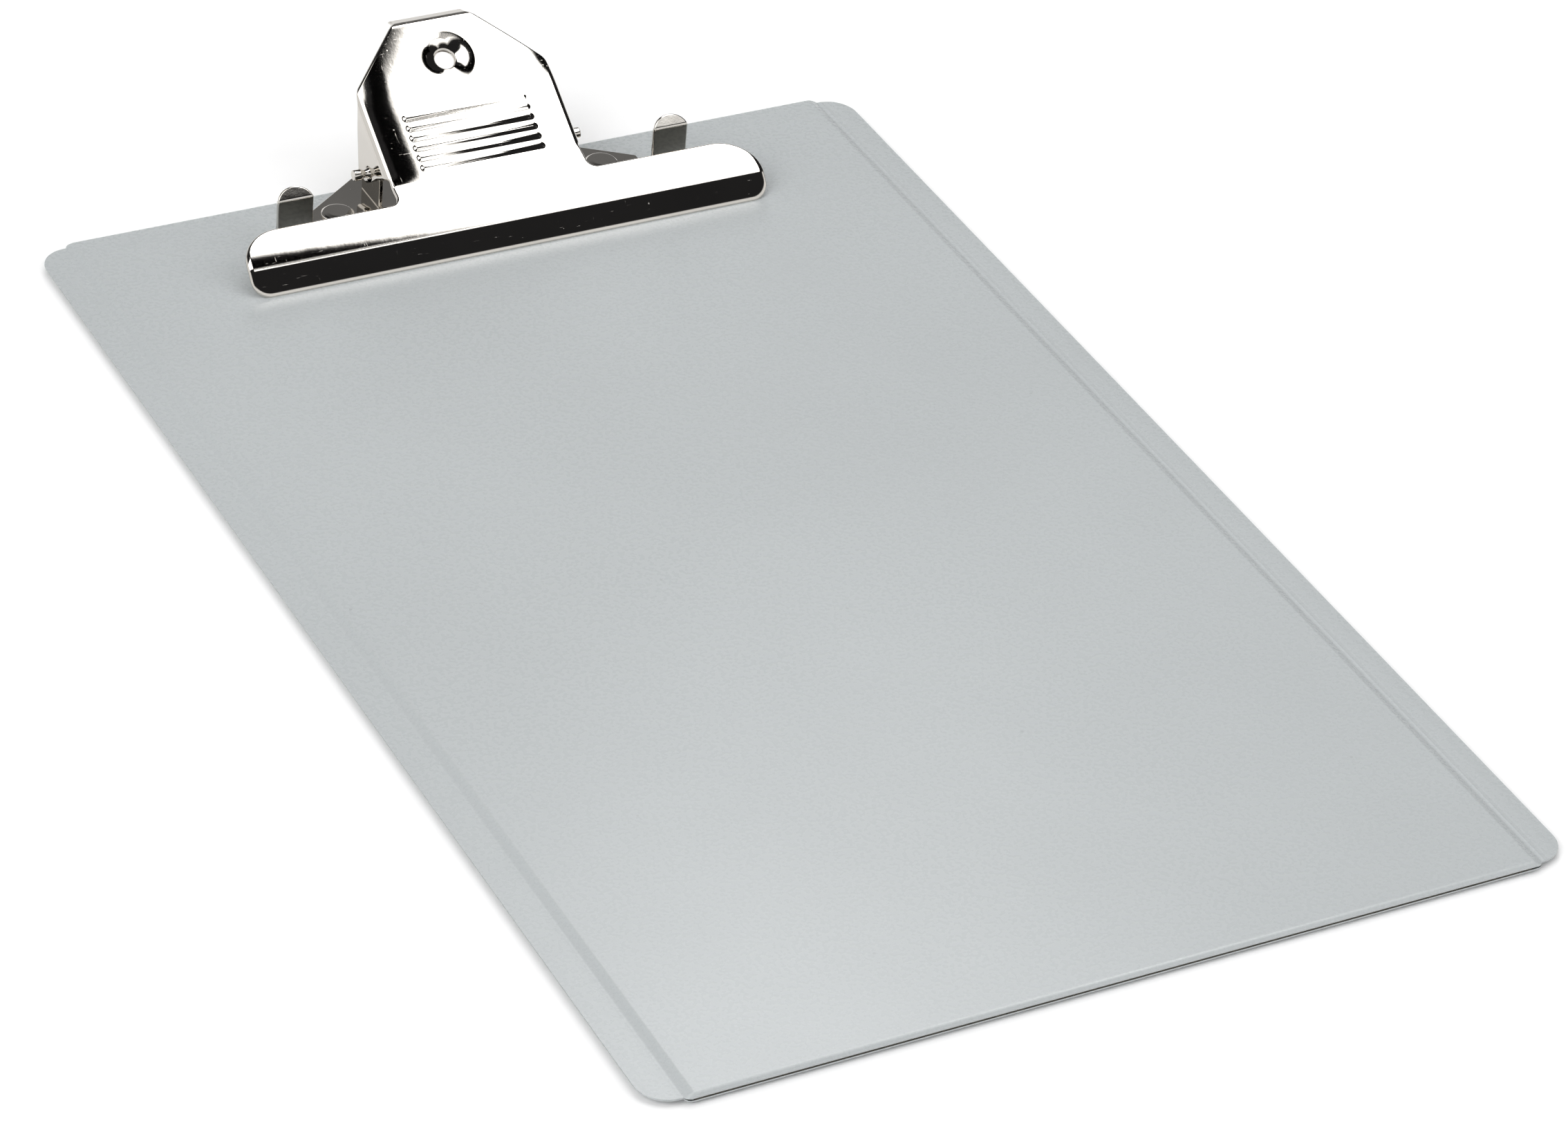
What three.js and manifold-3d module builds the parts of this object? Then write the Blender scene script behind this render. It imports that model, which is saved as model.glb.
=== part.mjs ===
// A foolscap clipboard: a paperboard panel sealed in plastic film, with a sprung lever clip riveted
// to one end. The clip is two steel stampings (a fixed base plate and the jaw lever) that turn
// on one crossways pin, with a double torsion spring around the pin.
//
// Millimetres, +Z up. Inside the `clipboard` group the origin is the middle of the panel's top
// face, +Y points to the clip end and +X to the right as a reader sees it.
// The group itself moves that to the bottom centre of the whole object.

import * as THREE from 'three';
import { mergeVertices } from 'three/addons/utils/BufferGeometryUtils.js';
import Module from 'manifold-3d';

const wasm = await Module();
wasm.setup();

// ---------- driving dimensions ----------
const BOARD_W = 230;
const BOARD_L = 354;
const FILM = 0.25;
const CORE_T = 2.0;
const CORE_W = 209;
const END_BEAD = 0.4;
const BOARD_T = CORE_T + 2 * FILM;
const SEAM_X = 107.2;
const SEAM_RAMP = 2;
const FLANGE_SETBACK = 1.2;
const FLANGE_CORNER_R = 7.5;
const BLOCK_CORNER = { back: 1, r: 1.5 }; // the core block's corner, just inside the seam
const NOTCH = 0.4; // how far the block runs past the flange's inner end
const CORE_END_GAP = 0.3;

const SHEET = 1.0;
const SINK = 0.2; // how far a wall's foot runs into the sheet that it rises from
const FAR = 100; // beyond the clip on every side, for cutting tools
const JAW_GAP = 0.2;
const LIP_Y = 134.2;
const CREASE = { y: 139.6, z: 6.1, r: 1.6 };
const NECK = { y: 155.2, z: 12.05, r: 4 };
const LEVER_ANGLE = THREE.MathUtils.degToRad(32.4);
const LEVER_LENGTH = 45.7;
const BAR_HALF_W = 72.3;
const BAR_BACK_Y = 150.2;
const LIP_CORNER = { inset: 4.8, reach: 3, r: 4 };
const BAR_BACK_R = 11;
const NECK_CORNER_R = 2.6;
const LEVER_HALF_W = 27.5;
const LEVER_TOP_HALF_W = 10.4;
const LEVER_SHOULDER_Y = 178.9;
const SHOULDER_R = 4;
const LEVER_TOP_R = 1.6;

// Corners of a side flange in the lever's own frame: [along, out, radius].
const FLANGE_CORNERS = [[25.6, -0.3], [3.4, -0.3], [5.4, -5.5], [8.8, -13.8, 2], [13.5, -15.3, 1.5]];

const RIB = { count: 6, length: 32.8, width: 1.5, height: 0.35, first: 3.7, pitch: 2.88 };
const DISH = { along: 32.8, r: 7.3, depth: 1.3, hole: 2.75, floorR: 4.0 };

const PIN = { y: 168, z: 9.3, r: 1.45, half: 32, waistR: 1.0, waistX: 28.7 };
const PIN_CLEARANCE = 0.12;
const EAR = { y: 169.1, halfW: 5.5, outerX: 26.2 };
const PLATE_FRONT_Y = 150.2;
const PLATE_REAR = { y: 181.2, halfW: 24.8, slope: -0.698 };
const TAB = { x: 52.8, halfW: 4.9, y: 156.3, bendZ: 13.6, bendR: 2, tilt: 45, top: 3.4, crown: 4.2 };

const RIVET = { x: 37.4, y: 164.6, headR: 4.3, headH: 0.9, shankR: 2.2, bore: 1.3, boreTop: -0.8, rollR: 3.5 };
const RIVET_HOLE_R = 2.5;
const WASHER = { inner: 2.5, outer: 5.0, top: -1.5, bottom: -2.0 };
const RECESS_R = 5.3;

const SPRING = { wire: 0.75, coilR: 2.75, turns: 4, inner: 6, pitch: 1.75 };
// Stations of the spring's arm behind the pin, and of its bridge up the lever.
const SPRING_ARM = { end: 11, bend: 8.5, start: 5, rise: 1.2, gap: 0.1 };
const SPRING_BRIDGE = { low: 17, high: 22, dip: 2, inset: 0.6, gap: 0.5 };
const ROUND = 32;

// ---------- materials ----------
const material = (color, roughness, metalness) =>
  new THREE.MeshStandardMaterial({ color, roughness, metalness });
const FILM_GREY = material(0xbec3c3, 0.42, 0);
const BOARD_GREY = material(0x8f8a80, 0.95, 0);
const PLATED = material(0xd8d9da, 0.12, 1);
const SPRING_STEEL = material(0x8c8f93, 0.35, 1);

// ---------- solid helpers ----------
function toSolid(geometry) {
  const bare = geometry.clone();
  bare.deleteAttribute('normal');
  bare.deleteAttribute('uv');
  const merged = mergeVertices(bare, 1e-5);
  const mesh = new wasm.Mesh({
    numProp: 3,
    vertProperties: new Float32Array(merged.attributes.position.array),
    triVerts: new Uint32Array(merged.index.array),
  });
  return new wasm.Manifold(mesh);
}

function toGeometry(solid) {
  const mesh = solid.getMesh();
  const geometry = new THREE.BufferGeometry();
  geometry.setAttribute('position', new THREE.BufferAttribute(new Float32Array(mesh.vertProperties), 3));
  geometry.setIndex(new THREE.BufferAttribute(new Uint32Array(mesh.triVerts), 1));
  geometry.computeVertexNormals();
  return geometry;
}

const join = (...solids) => solids.reduce((sum, solid) => sum.add(solid));
const cut = (solid, ...tools) => tools.reduce((rest, tool) => rest.subtract(tool), solid);

function box(x0, x1, y0, y1, z0, z1) {
  const geometry = new THREE.BoxGeometry(x1 - x0, y1 - y0, z1 - z0);
  return toSolid(geometry.translate((x0 + x1) / 2, (y0 + y1) / 2, (z0 + z1) / 2));
}

// An outline drawn in X and Y, standing from z0 to z1.
function prismZ(shape, z0, z1) {
  const geometry = new THREE.ExtrudeGeometry(shape, { depth: z1 - z0, bevelEnabled: false, curveSegments: 10 });
  return toSolid(geometry.translate(0, 0, z0));
}

// An outline drawn in Y and Z, running from x0 to x1.
const Y_Z_TO_WORLD = new THREE.Matrix4().makeBasis(
  new THREE.Vector3(0, 1, 0), new THREE.Vector3(0, 0, 1), new THREE.Vector3(1, 0, 0));
function prismX(shape, x0, x1) {
  const geometry = new THREE.ExtrudeGeometry(shape, { depth: x1 - x0, bevelEnabled: false, curveSegments: 8 });
  return toSolid(geometry.translate(0, 0, x0).applyMatrix4(Y_Z_TO_WORLD));
}

// A turned piece: points are [radius, height], the axis is +Z.
function turnedZ(points, segments = ROUND) {
  const profile = points.map(([r, z]) => new THREE.Vector2(r, z));
  return new THREE.LatheGeometry(profile, segments).rotateX(Math.PI / 2);
}

const cylinderZ = (r, x, y, z0, z1) =>
  toSolid(turnedZ([[0, z0], [r, z0], [r, z1], [0, z1]]).translate(x, y, 0));

function cylinderX(r, y, z, x0, x1) {
  const geometry = new THREE.CylinderGeometry(r, r, x1 - x0, ROUND).rotateZ(Math.PI / 2);
  return toSolid(geometry.translate((x0 + x1) / 2, y, z));
}

// A closed outline with a rounded corner wherever a third number gives a radius.
function roundedShape(corners) {
  const shape = new THREE.Shape();
  const count = corners.length;
  corners.forEach(([x, y, r = 0], i) => {
    const here = new THREE.Vector2(x, y);
    if (r === 0) {
      if (i === 0) shape.moveTo(x, y);
      else shape.lineTo(x, y);
      return;
    }
    const back = new THREE.Vector2(...corners[(i + count - 1) % count]).sub(here).normalize();
    const ahead = new THREE.Vector2(...corners[(i + 1) % count]).sub(here).normalize();
    const half = Math.acos(THREE.MathUtils.clamp(back.dot(ahead), -1, 1)) / 2;
    const centre = back.clone().add(ahead).normalize().multiplyScalar(r / Math.sin(half)).add(here);
    const start = back.clone().multiplyScalar(r / Math.tan(half)).add(here).sub(centre);
    const end = ahead.clone().multiplyScalar(r / Math.tan(half)).add(here).sub(centre);
    if (i === 0) shape.moveTo(centre.x + start.x, centre.y + start.y);
    shape.absarc(centre.x, centre.y, r, start.angle(), end.angle(), start.cross(end) < 0);
  });
  return shape;
}

// Both halves of an outline that is the same left and right. Corners run with x > 0.
const mirrored = (half) => [...half, ...half.map(([x, ...rest]) => [-x, ...rest]).reverse()];

// A bent sheet seen end on: its outer face runs through `corners`, each [y, z, radius].
function bentSheet(corners, thickness, stepsPerBend = 6) {
  const points = corners.map(([y, z]) => new THREE.Vector2(y, z));
  const outer = [];
  const inner = [];
  const put = (point, normal) => {
    outer.push(point);
    inner.push(point.clone().addScaledVector(normal, -thickness));
  };
  const heading = (i) => points[i + 1].clone().sub(points[i]).normalize();
  const leftOf = (direction) => new THREE.Vector2(-direction.y, direction.x);
  put(points[0], leftOf(heading(0)));
  for (let i = 1; i < points.length - 1; i += 1) {
    const from = heading(i - 1);
    const to = heading(i);
    const turn = Math.atan2(from.cross(to), from.dot(to));
    const radius = corners[i][2];
    const start = points[i].clone().addScaledVector(from, -radius * Math.tan(Math.abs(turn) / 2));
    const centre = start.clone().addScaledVector(leftOf(from), Math.sign(turn) * radius);
    for (let step = 0; step <= stepsPerBend; step += 1) {
      const normal = leftOf(from).rotateAround(new THREE.Vector2(), (turn * step) / stepsPerBend);
      put(centre.clone().addScaledVector(normal, -Math.sign(turn) * radius), normal);
    }
  }
  put(points[points.length - 1], leftOf(heading(points.length - 2)));
  return new THREE.Shape([...outer, ...inner.reverse()]);
}

// ---------- the panel ----------
function panelOutline() {
  const flangeY = BOARD_L / 2 - FLANGE_SETBACK;
  const right = [
    [SEAM_X - BLOCK_CORNER.back, -BOARD_L / 2, BLOCK_CORNER.r],
    [SEAM_X - NOTCH, -flangeY],
    [BOARD_W / 2, -flangeY, FLANGE_CORNER_R],
    [BOARD_W / 2, flangeY, FLANGE_CORNER_R],
    [SEAM_X - NOTCH, flangeY],
    [SEAM_X - BLOCK_CORNER.back, BOARD_L / 2, BLOCK_CORNER.r],
  ];
  return roundedShape(mirrored(right));
}

// One film: flat over the core, then a ramp down to the welded flange along each side.
// `side` is +1 for the film on the paper side and -1 for the one on the back.
function coverSolid(side) {
  const middle = -BOARD_T / 2;
  const at = (height) => middle + side * height;
  const rampX = SEAM_X - SEAM_RAMP;
  const right = [
    [rampX - FILM, at(CORE_T / 2)],
    [SEAM_X - FILM, at(0)],
    [BOARD_W / 2, at(0)],
    [BOARD_W / 2, at(FILM)],
    [SEAM_X, at(FILM)],
    [rampX, at(BOARD_T / 2)],
  ];
  const outline = mirrored(right).map(([x, z]) => new THREE.Vector2(x, z));
  if (THREE.ShapeUtils.isClockWise(outline)) outline.reverse();
  const section = new THREE.ExtrudeGeometry(new THREE.Shape(outline), { depth: BOARD_L, bevelEnabled: false });
  section.rotateX(Math.PI / 2).translate(0, BOARD_L / 2, 0);
  const endZ = [at(0), at(BOARD_T / 2)].sort((a, b) => a - b);
  const end = (y0, y1) => box(-rampX, rampX, y0, y1, ...endZ);
  const half = BOARD_L / 2;
  const sheet = join(toSolid(section), end(half - END_BEAD, half), end(-half, END_BEAD - half));
  return sheet.intersect(prismZ(panelOutline(), -BOARD_T - 1, 1));
}

function frontCover() {
  const hole = (x) => cylinderZ(RIVET_HOLE_R, x, RIVET.y, -1, 1);
  return cut(coverSolid(1), hole(RIVET.x), hole(-RIVET.x));
}

function backCover() {
  const hole = (x) => cylinderZ(RECESS_R, x, RIVET.y, -BOARD_T - 1, 1 - BOARD_T);
  return cut(coverSolid(-1), hole(RIVET.x), hole(-RIVET.x));
}

function boardCore() {
  const halfL = BOARD_L / 2 - END_BEAD - CORE_END_GAP;
  const slab = box(-CORE_W / 2, CORE_W / 2, -halfL, halfL, -FILM - CORE_T, -FILM);
  const hole = (x) => cylinderZ(RIVET_HOLE_R, x, RIVET.y, -BOARD_T, 1);
  const recess = (x) => cylinderZ(RECESS_R, x, RIVET.y, -BOARD_T, WASHER.top + 0.1);
  return cut(slab, hole(RIVET.x), hole(-RIVET.x), recess(RIVET.x), recess(-RIVET.x));
}

// ---------- the fixed stamping ----------
function basePlateOutline() {
  const tabInner = TAB.x - TAB.halfW;
  const tabOuter = TAB.x + TAB.halfW;
  const slantAt = (x) => PLATE_REAR.y + PLATE_REAR.slope * (x - PLATE_REAR.halfW);
  const right = [
    [tabOuter, PLATE_FRONT_Y, 1.5],
    [tabOuter, TAB.y + SHEET],
    [tabInner, TAB.y + SHEET],
    [tabInner, slantAt(tabInner), 0.8],
    [PLATE_REAR.halfW, PLATE_REAR.y, 2],
  ];
  return roundedShape(mirrored(right));
}

// A paper stop: an upright tab with a rounded top, its tip leaning back.
function paperStop(x) {
  const lean = THREE.MathUtils.degToRad(TAB.tilt);
  const tipY = TAB.y + TAB.top * Math.sin(lean);
  const tipZ = TAB.bendZ + TAB.top * Math.cos(lean);
  const side = bentSheet([[TAB.y, SINK], [TAB.y, TAB.bendZ, TAB.bendR], [tipY, tipZ]], SHEET);
  const crownZ = tipZ - TAB.crown;
  const face = new THREE.Shape();
  face.moveTo(-TAB.halfW, 0);
  face.lineTo(TAB.halfW, 0);
  face.lineTo(TAB.halfW, crownZ);
  face.absellipse(0, crownZ, TAB.halfW, TAB.crown, 0, Math.PI, false);
  const depth = tipY - TAB.y + 4 * SHEET;
  const outline = new THREE.ExtrudeGeometry(face, { depth, bevelEnabled: false, curveSegments: 14 });
  outline.rotateX(Math.PI / 2).translate(x, tipY + 2 * SHEET, 0);
  return prismX(side, x - TAB.halfW, x + TAB.halfW).intersect(toSolid(outline));
}

// A hinge ear: an upright plate with a round top and the pin's hole.
function hingeEar(side) {
  const ear = new THREE.Shape();
  ear.moveTo(EAR.y - EAR.halfW, SINK);
  ear.lineTo(EAR.y + EAR.halfW, SINK);
  ear.lineTo(EAR.y + EAR.halfW, PIN.z);
  ear.absarc(EAR.y, PIN.z, EAR.halfW, 0, Math.PI, false);
  const x = [side * EAR.outerX, side * (EAR.outerX - SHEET)].sort((a, b) => a - b);
  return prismX(ear, ...x);
}

function basePlate() {
  const plate = prismZ(basePlateOutline(), 0, SHEET);
  const rivetHole = (x) => cylinderZ(RIVET_HOLE_R, x, RIVET.y, -1, SHEET + 1);
  const solid = join(plate, hingeEar(1), hingeEar(-1), paperStop(TAB.x), paperStop(-TAB.x));
  const pinHole = cylinderX(PIN.r + PIN_CLEARANCE, PIN.y, PIN.z, -EAR.outerX - 1, EAR.outerX + 1);
  return cut(solid, rivetHole(RIVET.x), rivetHole(-RIVET.x), pinHole);
}

// ---------- the jaw lever ----------
// The lever's own frame: `along` runs up the lever from the neck, `out` is its outer normal.
const leverPoint = (along, out) => [
  NECK.y + along * Math.cos(LEVER_ANGLE) - out * Math.sin(LEVER_ANGLE),
  NECK.z + along * Math.sin(LEVER_ANGLE) + out * Math.cos(LEVER_ANGLE),
];
function onLever(geometry) {
  return geometry.rotateX(LEVER_ANGLE).translate(0, NECK.y, NECK.z);
}

function jawPlan() {
  const top = leverPoint(LEVER_LENGTH, 0)[0];
  const right = [
    [BAR_HALF_W - LIP_CORNER.inset, LIP_Y - LIP_CORNER.reach, LIP_CORNER.r],
    [BAR_HALF_W, LIP_Y + LIP_CORNER.reach, LIP_CORNER.r],
    [BAR_HALF_W, BAR_BACK_Y, BAR_BACK_R],
    [LEVER_HALF_W - 0.3, BAR_BACK_Y, NECK_CORNER_R],
    [LEVER_HALF_W, NECK.y + 1.5],
    [LEVER_HALF_W, LEVER_SHOULDER_Y, SHOULDER_R],
    [LEVER_TOP_HALF_W, top, LEVER_TOP_R],
  ];
  return roundedShape(mirrored(right));
}

function leverFlange(side) {
  const corners = FLANGE_CORNERS.map(([along, out, r = 0]) => [...leverPoint(along, out), r]);
  const x = [side * LEVER_HALF_W, side * (LEVER_HALF_W - SHEET)].sort((a, b) => a - b);
  return prismX(roundedShape(corners), ...x);
}

function gripRibs() {
  const end = RIB.length / 2;
  const radius = RIB.width / 2;
  const outline = roundedShape(mirrored([[end, -radius, radius * 0.98], [end, radius, radius * 0.98]]));
  const root = 0.3;
  const options = { depth: RIB.height + root, bevelEnabled: false, curveSegments: 3 };
  return Array.from({ length: RIB.count }, (_, i) => {
    const rib = new THREE.ExtrudeGeometry(outline, options).translate(0, RIB.first + i * RIB.pitch, -root);
    return toSolid(onLever(rib));
  });
}

// The pressed dish around the hanging hole, as a thin turned shell.
function hangingDish() {
  const { floorR } = DISH;
  const profile = [
    [DISH.hole, -DISH.depth - SHEET], [floorR - 0.3, -DISH.depth - SHEET], [DISH.r - 0.1, -SHEET - 0.4],
    [DISH.r + 0.5, -SHEET + 0.3], [DISH.r + 0.5, -0.25], [DISH.r - 0.6, -0.3], [floorR, -DISH.depth],
    [DISH.hole, -DISH.depth], [DISH.hole, -DISH.depth - SHEET],
  ];
  return toSolid(onLever(turnedZ(profile).translate(0, DISH.along, 0)));
}

function jawLever() {
  // The face runs a little past the lip and is trimmed level, JAW_GAP above the paper side.
  const past = 0.8;
  const lip = [LIP_Y - past, (-CREASE.z * past) / (CREASE.y - LIP_Y)];
  const corners = [lip, [CREASE.y, CREASE.z, CREASE.r], [NECK.y, NECK.z, NECK.r], leverPoint(LEVER_LENGTH, 0)];
  const shell = prismX(bentSheet(corners, SHEET), -BAR_HALF_W - 1, BAR_HALF_W + 1);
  const aboveLip = box(-FAR, FAR, LIP_Y - FAR, LIP_Y + FAR, JAW_GAP, FAR);
  const plan = shell.intersect(prismZ(jawPlan(), -SHEET, FAR)).intersect(aboveLip);
  const opening = toSolid(onLever(turnedZ([[0, -3], [DISH.r, -3], [DISH.r, 3], [0, 3]])
    .translate(0, DISH.along, 0)));
  const solid = join(cut(plan, opening), leverFlange(1), leverFlange(-1), hangingDish(), ...gripRibs());
  return cut(solid, cylinderX(PIN.r + PIN_CLEARANCE, PIN.y, PIN.z, -FAR, FAR));
}

// ---------- pin, spring and rivets ----------
function hingePin() {
  const right = [
    [PIN.r, PIN.waistX - 0.9], [PIN.waistR, PIN.waistX - 0.2], [PIN.waistR, PIN.waistX + 0.3],
    [PIN.r, PIN.waistX + 1.1], [PIN.r, PIN.half - 0.3], [PIN.r - 0.3, PIN.half],
  ];
  const left = right.map(([r, x]) => [r, -x]).reverse();
  const profile = [[0, -PIN.half], ...left, ...right, [0, PIN.half]];
  return turnedZ(profile, 24).rotateY(Math.PI / 2).translate(0, PIN.y, PIN.z);
}

// The spring's wire: an arm resting on the base plate, a coil, a bridge under the lever, and
// the same again mirrored.
function springWire() {
  const turnsAngle = SPRING.turns * 2 * Math.PI;
  const baseAngle = -Math.PI / 2;
  const leverSide = Math.PI / 2 + LEVER_ANGLE;
  const coil = [];
  const sweep = turnsAngle + (leverSide - baseAngle) - 2 * Math.PI;
  const steps = Math.round(sweep / (Math.PI / 6));
  for (let i = 0; i <= steps; i += 1) {
    const angle = baseAngle - (sweep * i) / steps;
    const x = SPRING.inner + SPRING.pitch * SPRING.turns * (1 - i / steps);
    const y = PIN.y + SPRING.coilR * Math.cos(angle);
    const z = PIN.z + SPRING.coilR * Math.sin(angle);
    coil.push(new THREE.Vector3(x, y, z));
  }
  const outerX = coil[0].x;
  const armZ = SHEET + SPRING.wire + SPRING_ARM.gap;
  const arm = [[SPRING_ARM.end, armZ], [SPRING_ARM.bend, armZ], [SPRING_ARM.start, armZ + SPRING_ARM.rise]]
    .map(([behind, z]) => new THREE.Vector3(outerX, PIN.y + behind, z));
  const under = -SHEET - SPRING.wire - SPRING_BRIDGE.gap;
  const low = leverPoint(SPRING_BRIDGE.low, under - SPRING_BRIDGE.dip);
  const high = leverPoint(SPRING_BRIDGE.high, under);
  const bridge = [
    new THREE.Vector3(SPRING.inner, ...low),
    new THREE.Vector3(SPRING.inner - SPRING_BRIDGE.inset, ...high),
  ];
  const right = [...arm, ...coil, ...bridge];
  const left = right.map((p) => new THREE.Vector3(-p.x, p.y, p.z)).reverse();
  return new THREE.CatmullRomCurve3([...right, ...left], false, 'centripetal');
}

function torsionSpring() {
  const section = new THREE.Shape();
  section.absarc(0, 0, SPRING.wire, 0, 2 * Math.PI, false);
  const options = { steps: 220, curveSegments: 4, bevelEnabled: false, extrudePath: springWire() };
  return new THREE.ExtrudeGeometry(section, options);
}

function rivet(x) {
  const top = SHEET + 0.02;
  const profile = [
    [0, RIVET.boreTop], [RIVET.bore, RIVET.boreTop],
    [RIVET.bore, -BOARD_T + 0.15], [RIVET.bore + 0.15, -BOARD_T],
    [RIVET.rollR - 0.25, -BOARD_T], [RIVET.rollR, -BOARD_T + 0.2], [RIVET.rollR, WASHER.bottom - 0.05],
    [RIVET.shankR, WASHER.bottom - 0.05], [RIVET.shankR, top], [RIVET.headR, top],
    [RIVET.headR, top + 0.3], [RIVET.headR - 0.6, top + 0.62], [RIVET.headR - 2, top + RIVET.headH - 0.1],
    [0, top + RIVET.headH],
  ];
  return turnedZ(profile).translate(x, RIVET.y, 0);
}

function rivetWasher(x) {
  const { inner, outer, top, bottom } = WASHER;
  const ring = [[inner, bottom], [outer, bottom], [outer, top], [inner, top], [inner, bottom]];
  return turnedZ(ring).translate(x, RIVET.y, 0);
}

// ---------- assembly ----------
const clipboard = new THREE.Group();
const leverTopY = leverPoint(LEVER_LENGTH, 0)[0];
clipboard.position.set(0, -(leverTopY - BOARD_L / 2) / 2, BOARD_T);

function add(name, geometry, finish) {
  const mesh = new THREE.Mesh(geometry, finish);
  mesh.name = name;
  clipboard.add(mesh);
}

add('board_core', toGeometry(boardCore()), BOARD_GREY);
add('front_cover', toGeometry(frontCover()), FILM_GREY);
add('back_cover', toGeometry(backCover()), FILM_GREY);
add('base_plate', toGeometry(basePlate()), PLATED);
add('jaw_lever', toGeometry(jawLever()), PLATED);
add('hinge_pin', hingePin(), PLATED);
add('torsion_spring', torsionSpring(), SPRING_STEEL);
add('rivet_left', rivet(-RIVET.x), PLATED);
add('rivet_right', rivet(RIVET.x), PLATED);
add('rivet_washer_left', rivetWasher(-RIVET.x), SPRING_STEEL);
add('rivet_washer_right', rivetWasher(RIVET.x), SPRING_STEEL);

const root = new THREE.Group();
root.add(clipboard);

export default root;
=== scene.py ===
# Looks for the foolscap clipboard: film-covered board, plated lever clip, pin, spring and rivets.
#
# Shapes are worked out in millimetres in the board's own frame: the origin is the middle of the
# film's paper side, +X to the reader's right, +Y to the clip, +Z up. place() takes them to the row
# frame in metres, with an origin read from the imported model.

import math

import bmesh
import bpy
import numpy as np
from mathutils import Matrix, Vector, geometry


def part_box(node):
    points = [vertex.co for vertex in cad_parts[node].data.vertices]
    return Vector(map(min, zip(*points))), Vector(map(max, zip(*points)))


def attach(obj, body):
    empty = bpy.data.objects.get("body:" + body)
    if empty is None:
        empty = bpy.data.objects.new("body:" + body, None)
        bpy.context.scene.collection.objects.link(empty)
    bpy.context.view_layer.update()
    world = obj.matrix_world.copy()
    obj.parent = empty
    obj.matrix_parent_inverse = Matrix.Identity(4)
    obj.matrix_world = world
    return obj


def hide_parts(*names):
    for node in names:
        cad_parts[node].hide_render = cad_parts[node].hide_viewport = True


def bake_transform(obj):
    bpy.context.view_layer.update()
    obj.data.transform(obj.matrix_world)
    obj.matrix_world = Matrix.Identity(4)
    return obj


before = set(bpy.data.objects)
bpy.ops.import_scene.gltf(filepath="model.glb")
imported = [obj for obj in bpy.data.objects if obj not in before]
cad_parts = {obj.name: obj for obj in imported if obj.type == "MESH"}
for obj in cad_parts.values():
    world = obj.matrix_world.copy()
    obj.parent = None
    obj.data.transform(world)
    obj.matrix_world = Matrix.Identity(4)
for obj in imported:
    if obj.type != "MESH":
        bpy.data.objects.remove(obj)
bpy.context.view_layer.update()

MM = 0.001
FRONT_LOW, FRONT_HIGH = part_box("front_cover")
BACK_LOW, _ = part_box("back_cover")
_, JAW_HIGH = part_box("jaw_lever")
PIN_LOW, PIN_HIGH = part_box("hinge_pin")
ORIGIN = np.array([0.0, (FRONT_LOW.y + FRONT_HIGH.y) / 2, FRONT_HIGH.z])
BOARD_W = (FRONT_HIGH.x - FRONT_LOW.x) / MM
BOARD_L = (FRONT_HIGH.y - FRONT_LOW.y) / MM
BOARD_T = (FRONT_HIGH.z - BACK_LOW.z) / MM
BAR_HALF_W = JAW_HIGH.x / MM
PIN_Y = ((PIN_LOW.y + PIN_HIGH.y) / 2 - ORIGIN[1]) / MM
PIN_Z = ((PIN_LOW.z + PIN_HIGH.z) / 2 - ORIGIN[2]) / MM
PIN_R = (PIN_HIGH.z - PIN_LOW.z) / 2 / MM
PIN_HALF = PIN_HIGH.x / MM


# ---------- camera ----------
CAMERA_AT = Vector((-0.53949, -0.94378, 0.74955))
CAMERA_RIGHT = Vector((0.88677, -0.45561, 0.07788))
CAMERA_UP = Vector((0.20656, 0.54135, 0.81503))
CAMERA_BACK = Vector((-0.41349, -0.70666, 0.57416))
LENS = 127.0
SENSOR = 36.0


def make_camera():
    """A long lens, above and in front of the board's left side."""
    data = bpy.data.cameras.new("camera")
    data.lens = LENS
    data.sensor_width = SENSOR
    data.sensor_fit = "HORIZONTAL"
    data.clip_start = 0.05
    data.clip_end = 50
    camera = bpy.data.objects.new("camera", data)
    turn = Matrix((CAMERA_RIGHT, CAMERA_UP, CAMERA_BACK)).transposed()
    camera.matrix_world = Matrix.Translation(CAMERA_AT) @ turn.to_4x4()
    bpy.context.scene.collection.objects.link(camera)
    bpy.context.scene.camera = camera


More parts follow.
